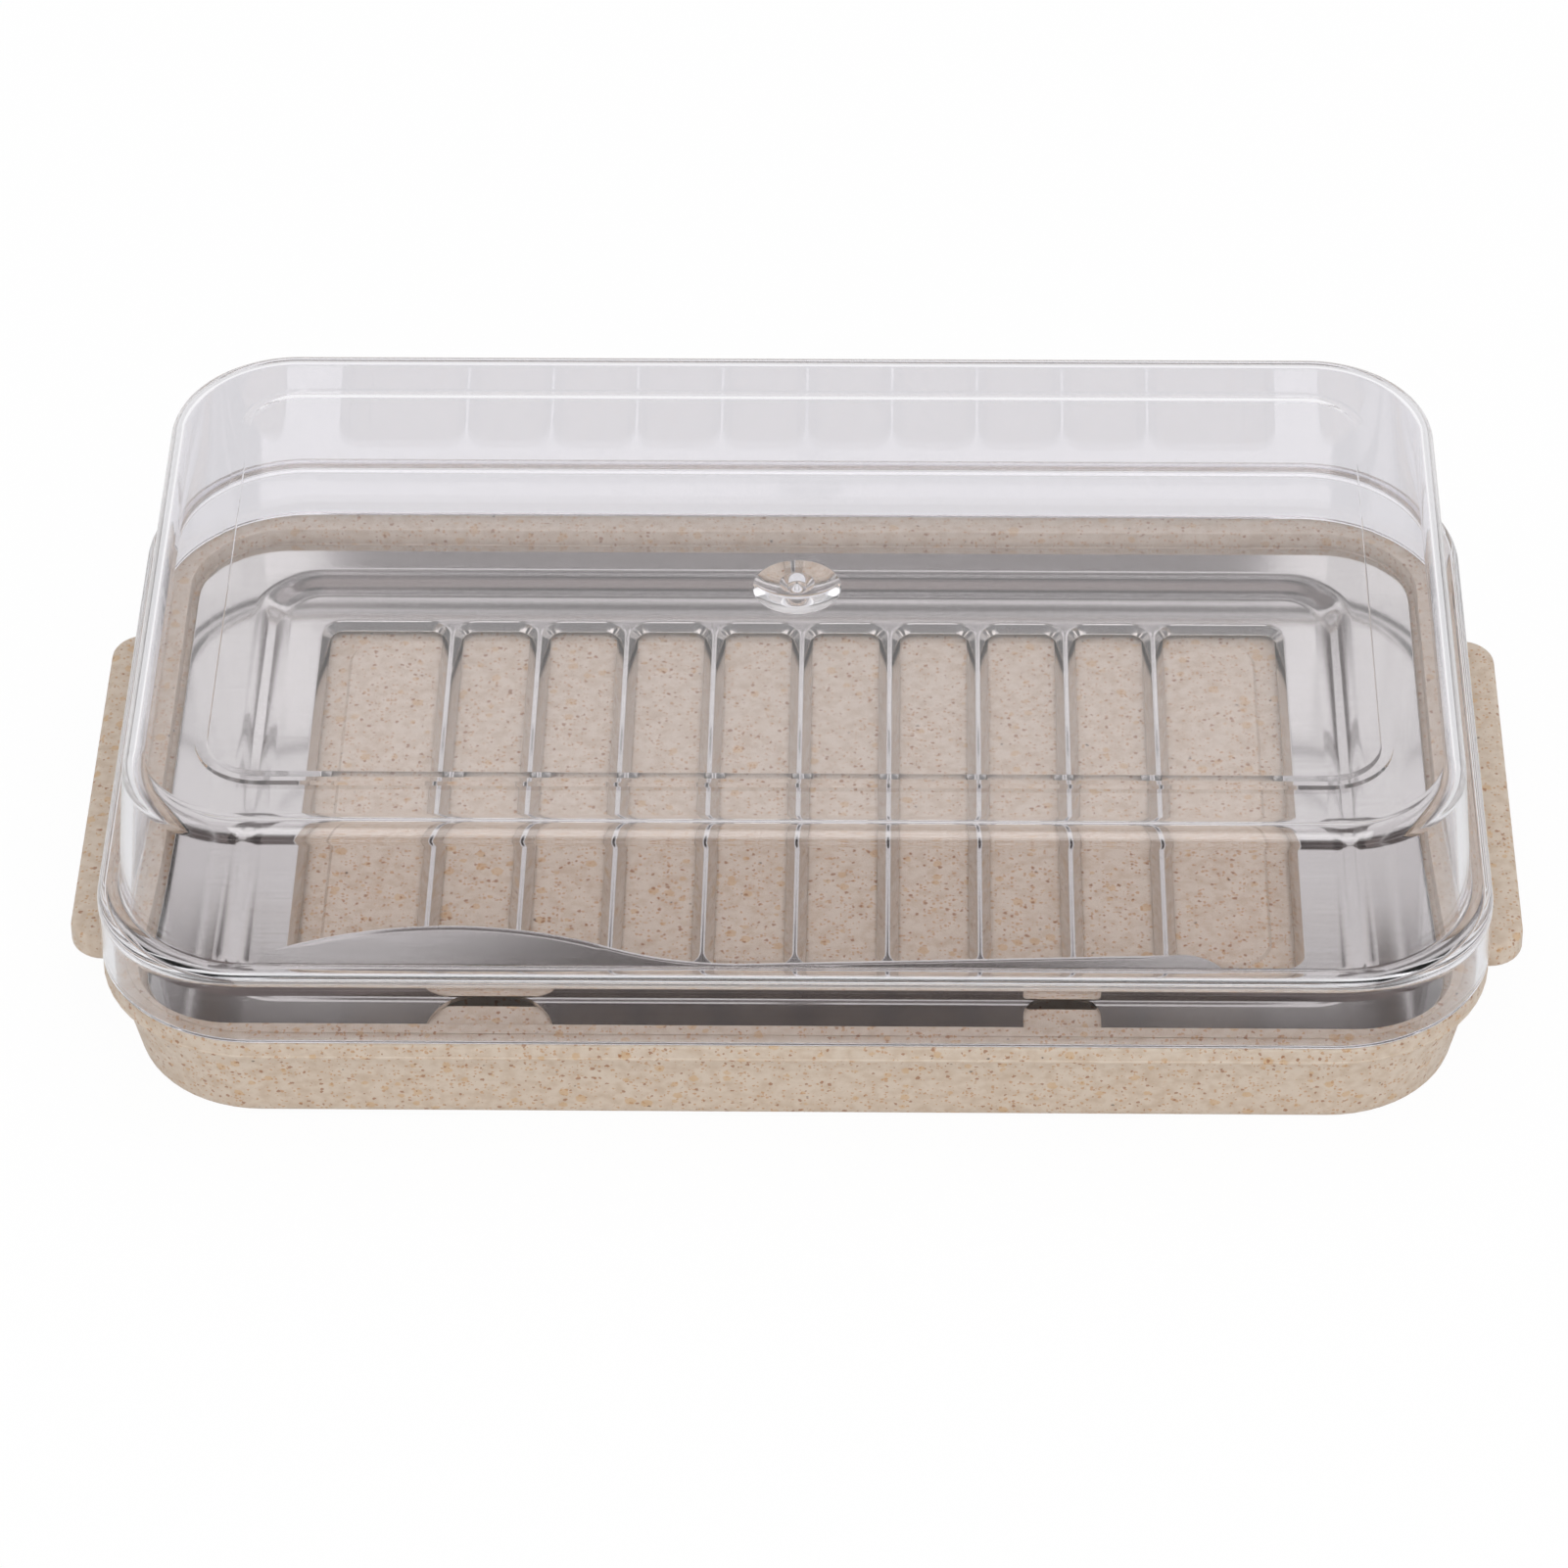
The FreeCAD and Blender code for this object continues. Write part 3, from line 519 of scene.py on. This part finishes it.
def knifeOutline(s):
    tip = Vector((s["tipX"], s["tipRadius"]))
    bellyY = s["bladeWidth"] - s["bellyRadius"]
    inner = s["bellyRadius"] - s["tipRadius"]
    belly = Vector((tip.x + math.sqrt(inner ** 2 - (tip.y - bellyY) ** 2), bellyY))
    tilt = math.radians(s["handleAngle"])
    along = Vector((-math.cos(tilt), -math.sin(tilt)))
    across = Vector((-math.sin(tilt), math.cos(tilt)))
    handle = Vector((s["handleX"], 0.0))
    edgeStart = handle + across * s["handleWidth"]
    reachFrom = edgeStart + across * s["waistRadius"] - belly
    both = s["bellyRadius"] + s["waistRadius"]
    half = reachFrom.dot(along)
    root = math.sqrt(half ** 2 - reachFrom.dot(reachFrom) + both ** 2)
    reach = -half - root if -half > root else -half + root
    waist = edgeStart + across * s["waistRadius"] + along * reach
    edgeEnd = waist - across * s["waistRadius"]
    meet = belly + (waist - belly) * (s["bellyRadius"] / both)
    tipMeet = belly + (tip - belly) * (s["bellyRadius"] / inner)
    spineEnd = handle + Vector((s["handleWidth"], 0.0))
    spineStart = Vector((tip.x, 0.0))
    # Each spot of the outline comes with how far its edge is ground
    edgeSteps, bellySteps, spineSteps = s["edgeSteps"], s["bellySteps"], s["spineSteps"]
    ground = s["handleGround"]
    handleLine = arcPoints(handle, s["handleWidth"], spineEnd, edgeStart, s["handleSteps"])
    waistLine = arcPoints(waist, s["waistRadius"], edgeEnd, meet, s["waistSteps"])
    bellyLine = arcPoints(belly, s["bellyRadius"], meet, tipMeet, bellySteps)
    tipLine = arcPoints(tip, s["tipRadius"], tipMeet, spineStart, s["tipSteps"])
    line = [(spot, 0.0) for spot in handleLine]
    line += [(edgeStart.lerp(edgeEnd, step / edgeSteps), ground) for step in range(1, edgeSteps)]
    line += [(spot, ground) for spot in waistLine]
    fades = [min(1.0, (bellySteps - step) / s["fadeSteps"]) for step in range(bellySteps + 1)]
    line += list(zip(bellyLine, fades))[1:]
    line += [(spot, 0.0) for spot in tipLine][1:]
    line += [(spineStart.lerp(spineEnd, step / spineSteps), 0.0) for step in range(1, spineSteps)]
    return line


def makeKnife(s):
    line = knifeOutline(s)
    count = len(line)
    spots = [spot for spot, ground in line]
    inward = []
    for place in range(count):
        run = spots[(place + 1) % count] - spots[place - 1]
        inward.append(Vector((-run.y, run.x)).normalized())
    points, faces = [], []
    edge = s["edge"]
    flat = edge * s["edgeFlat"]

    def addRing(shifts, heights):
        for spot, normal, shift, z in zip(spots, inward, shifts, heights):
            moved = spot + normal * shift
            points.append((moved.x, moved.y + s["spineY"], z))

    grounds = [ground for spot, ground in line]
    addRing([flat] * count, [s["under"]] * count)
    addRing([edge] * count, [s["under"]] * count)
    addRing([0.0] * count, [s["under"] + edge] * count)
    addRing([0.0] * count, [s["top"] - edge - ground * (s["groundDepth"] - edge) for ground in grounds])
    addRing([edge + ground * (s["groundWidth"] - edge) for ground in grounds], [s["top"]] * count)
    addRing([flat + ground * s["groundWidth"] for ground in grounds], [s["top"]] * count)
    lastRing = len(points) - count
    for low in range(0, lastRing, count):
        for place in range(count):
            after = (place + 1) % count
            faces.append((low + place, low + after, low + count + after, low + count + place))
    faces.append(tuple(reversed(range(count))))
    faces.append(tuple(range(lastRing, len(points))))
    return addPiece("knifeBlade", points, faces, knifeSteel, s["sharpAngle"])


knifeBlade = makeKnife(knife)
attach(knifeBlade, "knife")
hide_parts("butter_knife")
print("knife made:", len(knifeBlade.data.polygons), "faces")


# Lid: a shell from its ceiling, down the inside, round the lip, up the outside to the gate mark on top
lid = {
    "skirt": (90.2, 56.4, 21.2), "lip": 15.9, "wall": 1.5, "lipRound": 0.3, "lipInnerRound": 0.25,
    "shoulderIn": 3.0, "shoulderTop": 26.6, "shoulderRound": 2.6, "shoulderFillet": 0.3,
    "stepIn": 4.373, "stepHeight": 25.1, "stepRound": 0.6, "stepFillet": 0.2,
    "wallIn": 4.9, "top": 47.8, "topRound": 3.0, "topFlat": 4.4,
    "ceiling": 46.3, "ceilingIn": 6.273, "ceilingRound": 1.5,
    "panel": (74.6, 40.7, 7.0), "panelTop": 48.1, "panelCeiling": 46.6, "panelEdge": 1.6,
    "panelRound": 0.25, "panelFlat": 1.0, "panelFoot": 0.8,
    "gate": (5.8, 5.8, 5.8), "gateShift": -1.2, "gateReach": 1.0, "gateBulge": 11.0, "gateRings": 10,
    "gateRound": 0.1, "gateFlat": 0.6, "pit": 2.3, "pitDepth": 0.7, "pitRound": 0.1, "pitFlat": 0.5,
    "sprue": 0.8, "sprueFoot": 0.5, "sprueFillet": 0.2, "sprueRise": 0.1, "pip": 0.15, "pipDrop": 0.05,
    "arcSteps": 44, "roundSteps": 8,
}


def makeLid(s):
    skirt, panel, gate = s["skirt"], s["panel"], s["gate"]
    radius, bulge = gate[0], s["gateBulge"]
    panelTop, panelCeiling = s["panelTop"], s["panelCeiling"]
    panelEdge, panelFoot = s["panelEdge"], s["panelEdge"] + s["panelFoot"]
    # The gate is a lens: flat on top and bulging below
    corners = []
    for step in range(1, s["gateRings"]):
        reach = radius * step / s["gateRings"]
        drop = math.sqrt(bulge ** 2 - reach ** 2) - math.sqrt(bulge ** 2 - radius ** 2)
        corners.append((gate, reach - radius, panelCeiling - drop, 0))
    corners += [
        (gate, 0, panelCeiling, s["gateRound"]), (gate, s["gateFlat"], panelCeiling, 0),
        (panel, -s["panelFlat"], panelCeiling, 0), (panel, 0, panelCeiling, s["panelRound"]),
        (panel, panelEdge, s["ceiling"], s["panelRound"]), (panel, panelFoot, s["ceiling"], 0),
        (skirt, -s["ceilingIn"], s["ceiling"], s["ceilingRound"]),
        (skirt, -s["stepIn"], s["stepHeight"], s["stepRound"]),
        (skirt, -s["wall"], s["stepHeight"], s["stepFillet"]),
        (skirt, -s["wall"], s["lip"], s["lipInnerRound"]), (skirt, 0, s["lip"], s["lipRound"]),
        (skirt, 0, s["shoulderTop"], s["shoulderRound"]),
        (skirt, -s["shoulderIn"], s["shoulderTop"], s["shoulderFillet"]),
        (skirt, -s["wallIn"], s["top"], s["topRound"]), (skirt, -s["wallIn"] - s["topFlat"], s["top"], 0),
        (panel, panelFoot, s["top"], 0), (panel, panelEdge, s["top"], s["panelRound"]),
        (panel, 0, panelTop, s["panelRound"]), (panel, -s["panelFlat"], panelTop, 0),
        (gate, s["gateFlat"], panelTop, 0), (gate, s["pit"] - radius + s["pitFlat"], panelTop, 0),
        (gate, s["pit"] - radius, panelTop, s["pitRound"]),
        (gate, s["sprue"] + s["sprueFoot"] - radius, panelTop - s["pitDepth"], s["sprueFillet"]),
        (gate, s["sprue"] - radius, panelTop - s["pitDepth"] + s["sprueRise"], 0),
        (gate, s["pip"] - radius, panelTop - s["pipDrop"], 0),
    ]
    points, faces = ringLoft(softRings(corners, s["roundSteps"]), s["arcSteps"])
    near = radius + s["gateReach"]
    points = [(x, y + s["gateShift"] if math.hypot(x, y) < near else y, z) for x, y, z in points]
    return addPiece("lidShell", points, faces, clearPlastic)


lidShell = makeLid(lid)
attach(lidShell, "cover")
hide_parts("lid")
print("lid made:", len(lidShell.data.polygons), "faces")


# Stage: pale floor, white surroundings, soft lamps, and cards that only reflections see

# Corners, across and up, of a card that stands behind
def standing(corners, place=0.4):
    return [(x, place, z) for x, z in corners]


stage = {
    "floorSize": 6.0, "floorColour": "#f4f4f4", "floorWhite": 0.96, "floorThrough": 0.8,
    "worldLight": 0.5, "underLid": 1.6, "roomLevel": 0.2, "roomFrom": -0.15, "roomTo": 0.35,
    "backCard": standing(((-0.105, 0.2), (0.09, 0.2), (0.09, 0.302), (-0.105, 0.302))),
    "rimCard": standing((
        (-0.053, 0.377), (0.03, 0.377), (0.075, 0.397), (0.118, 0.399), (0.122, 0.385), (0.135, 0.379),
        (0.15, 0.384), (0.25, 0.39), (0.25, 0.43), (0.11, 0.43), (0.11, 1.3), (-0.11, 1.3), (-0.11, 0.43),
        (-0.27, 0.43), (-0.27, 0.39), (-0.165, 0.384), (-0.15, 0.379), (-0.137, 0.385), (-0.131, 0.399),
        (-0.097, 0.398))),
    "leftCard": standing(((-0.5, 0.43), (-0.11, 0.43), (-0.11, 1.3), (-0.5, 1.3))),
    "rightCard": standing(((0.11, 0.43), (0.5, 0.43), (0.5, 1.3), (0.11, 1.3))),
    "overCard": ((-0.6, -0.3, 1.3), (0.6, -0.3, 1.3), (0.6, 0.4, 1.3), (-0.6, 0.4, 1.3)),
    "frontCard": ((-0.3, -0.32, 0.001), (0.3, -0.32, 0.001), (0.3, -0.06, 0.001), (-0.3, -0.06, 0.001)),
    # Each card's colour, and how many walls of the lid light has crossed when it sees that colour
    "cards": (("backCard", "#534846", 2.5), ("rimCard", "#403938", 2.5), ("leftCard", "#7f7675", 2.5),
              ("rightCard", "#7f7675", 2.5), ("overCard", "#a39b9a", 2.5), ("frontCard", "#7c7876", -1.0)),
    # Each lamp's place, width and power
    "frontLamp": (0.15, -1.2, 0.95, 1.2, 10.0), "topLamp": (0.1, 0.5, 1.4, 1.2, 6.0),
    "leftLamp": (-1.3, -0.4, 0.9, 0.9, 2.4), "rightLamp": (1.4, -0.3, 0.8, 0.9, 2.0),
    "bounces": 40, "glossyBounces": 24,
}


def addStagePiece(name, corners, material):
    mesh = bpy.data.meshes.new(name)
    mesh.from_pydata(corners, [], [tuple(range(len(corners)))])
    mesh.materials.append(material)
    piece = bpy.data.objects.new(name, mesh)
    bpy.context.scene.collection.objects.link(piece)
    return piece


# White to the eye, and a little dimmer to what is seen through the lid
def makeFloor(s):
    half = s["floorSize"] / 2
    material, tree = newMaterial("paleFloor")
    path = addNode(tree, "ShaderNodeLightPath").outputs
    through = addNode(tree, "ShaderNodeMath", {"operation": "MAXIMUM"},
                      {0: path["Is Transmission Ray"], 1: path["Is Glossy Ray"]})
    seen = addNode(tree, "ShaderNodeMath", {"operation": "MAXIMUM"},
                   {0: through.outputs[0], 1: path["Is Camera Ray"]})
    share = addNode(tree, "ShaderNodeMath", {"operation": "MULTIPLY", 1: s["floorWhite"]},
                    {0: seen.outputs[0]})
    level = addNode(tree, "ShaderNodeMapRange", {"To Min": 1.0, "To Max": s["floorThrough"]},
                    {"Value": through.outputs[0]})
    white = addNode(tree, "ShaderNodeEmission", {"Color": (1, 1, 1, 1)}, {"Strength": level.outputs[0]})
    paint = addNode(tree, "ShaderNodeBsdfDiffuse", {"Color": srgb(s["floorColour"])})
    mix = addNode(tree, "ShaderNodeMixShader",
                  links={0: share.outputs[0], 1: paint.outputs[0], 2: white.outputs[0]})
    addNode(tree, "ShaderNodeOutputMaterial", links={"Surface": mix.outputs[0]})
    corners = [(-half, -half, 0), (half, -half, 0), (half, half, 0), (-half, half, 0)]
    addStagePiece("floor", corners, material)


# The cards behind are grey to the steel under the lid, and white like their surroundings to the lid itself
def makeCards(s):
    for name, colour, crossings in s["cards"]:
        material, tree = newMaterial(name)
        path = addNode(tree, "ShaderNodeLightPath").outputs
        deep = addNode(tree, "ShaderNodeMath", {"operation": "GREATER_THAN", 1: crossings},
                       {0: path["Transmission Depth"]})
        mirrored = addNode(tree, "ShaderNodeMath", {"operation": "LESS_THAN", 1: 0.5},
                           {0: path["Diffuse Depth"]})
        both = addNode(tree, "ShaderNodeMath", {"operation": "MULTIPLY"},
                       {0: deep.outputs[0], 1: mirrored.outputs[0]})
        shade = addNode(tree, "ShaderNodeMix", {"data_type": "RGBA", 6: (1, 1, 1, 1), 7: srgb(colour)},
                        {0: both.outputs[0]})
        level = addNode(tree, "ShaderNodeMix", {2: s["underLid"], 3: 1.0}, {0: mirrored.outputs[0]})
        glow = addNode(tree, "ShaderNodeEmission",
                       links={"Color": shade.outputs[2], "Strength": level.outputs[0]})
        addNode(tree, "ShaderNodeOutputMaterial", links={"Surface": glow.outputs[0]})
        card = addStagePiece(name, s[name], material)
        card.visible_camera = card.visible_diffuse = card.visible_shadow = False


# Reflections see a white backdrop behind and a dimmer room in front and overhead
def makeLight(s):
    world = bpy.data.worlds.new("studio")
    bpy.context.scene.world = world
    world.use_nodes = True
    tree = world.node_tree
    tree.nodes.clear()
    path = addNode(tree, "ShaderNodeLightPath").outputs
    place = addNode(tree, "ShaderNodeTexCoord").outputs["Generated"]
    way = addNode(tree, "ShaderNodeSeparateXYZ", links={0: place})
    room = addNode(tree, "ShaderNodeMapRange",
                   {"interpolation_type": "SMOOTHSTEP", "From Min": s["roomFrom"], "From Max": s["roomTo"],
                    "To Min": s["roomLevel"], "To Max": 1.0}, {"Value": way.outputs["Y"]})
    bounced = addNode(tree, "ShaderNodeMath", {"operation": "GREATER_THAN", 1: 0.5},
                      {0: path["Diffuse Depth"]})
    either = addNode(tree, "ShaderNodeMath", {"operation": "MAXIMUM"},
                     {0: path["Is Transmission Ray"], 1: path["Is Glossy Ray"]})
    shiny = addNode(tree, "ShaderNodeMix", {3: s["underLid"]}, {0: bounced.outputs[0], 2: room.outputs[0]})
    given = addNode(tree, "ShaderNodeMix", {2: s["worldLight"]},
                    {0: either.outputs[0], 3: shiny.outputs[0]})
    level = addNode(tree, "ShaderNodeMix", {3: 1.0}, {0: path["Is Camera Ray"], 2: given.outputs[0]})
    glow = addNode(tree, "ShaderNodeBackground", {"Color": (1, 1, 1, 1)}, {"Strength": level.outputs[0]})
    addNode(tree, "ShaderNodeOutputWorld", links={"Surface": glow.outputs[0]})
    for name in ("frontLamp", "topLamp", "leftLamp", "rightLamp"):
        x, y, z, width, power = s[name]
        lamp = bpy.data.lights.new(name, "AREA")
        lamp.size = width
        lamp.energy = power
        holder = bpy.data.objects.new(name, lamp)
        place = Vector((x, y, z))
        holder.location = place
        holder.rotation_euler = (-place).to_track_quat("-Z", "Y").to_euler()
        bpy.context.scene.collection.objects.link(holder)


# Camera: found from the straight edges in the photograph
view = {"place": (13.64, -680.8, 568.53), "pitch": 39.2, "yaw": -1.315, "roll": -0.548,
        "lens": 149.99, "sensor": 36.0, "nearest": 0.01}


def makeCamera(s):
    pitch, yaw, roll = (math.radians(s[name]) for name in ("pitch", "yaw", "roll"))
    forward = Vector((math.sin(yaw) * math.cos(pitch), math.cos(yaw) * math.cos(pitch), -math.sin(pitch)))
    right = Vector((math.cos(yaw), -math.sin(yaw), 0))
    up = right.cross(forward)
    turnedRight = right * math.cos(roll) + up * math.sin(roll)
    turnedUp = up * math.cos(roll) - right * math.sin(roll)
    camera = bpy.data.objects.new("camera", bpy.data.cameras.new("camera"))
    camera.data.lens = s["lens"]
    camera.data.sensor_width = s["sensor"]
    camera.data.clip_start = s["nearest"]
    camera.matrix_world = Matrix((turnedRight, turnedUp, -forward)).transposed().to_4x4()
    camera.location = Vector(s["place"]) * mm
    bpy.context.scene.collection.objects.link(camera)
    bpy.context.scene.camera = camera


makeFloor(stage)
makeCards(stage)
makeLight(stage)
makeCamera(view)
bpy.context.scene.view_settings.view_transform = "Standard"
# Light crosses the lid's walls many times before it leaves them
bpy.context.scene.cycles.max_bounces = stage["bounces"]
bpy.context.scene.cycles.glossy_bounces = stage["glossyBounces"]
bpy.context.scene.cycles.transmission_bounces = stage["bounces"]
print("stage set")
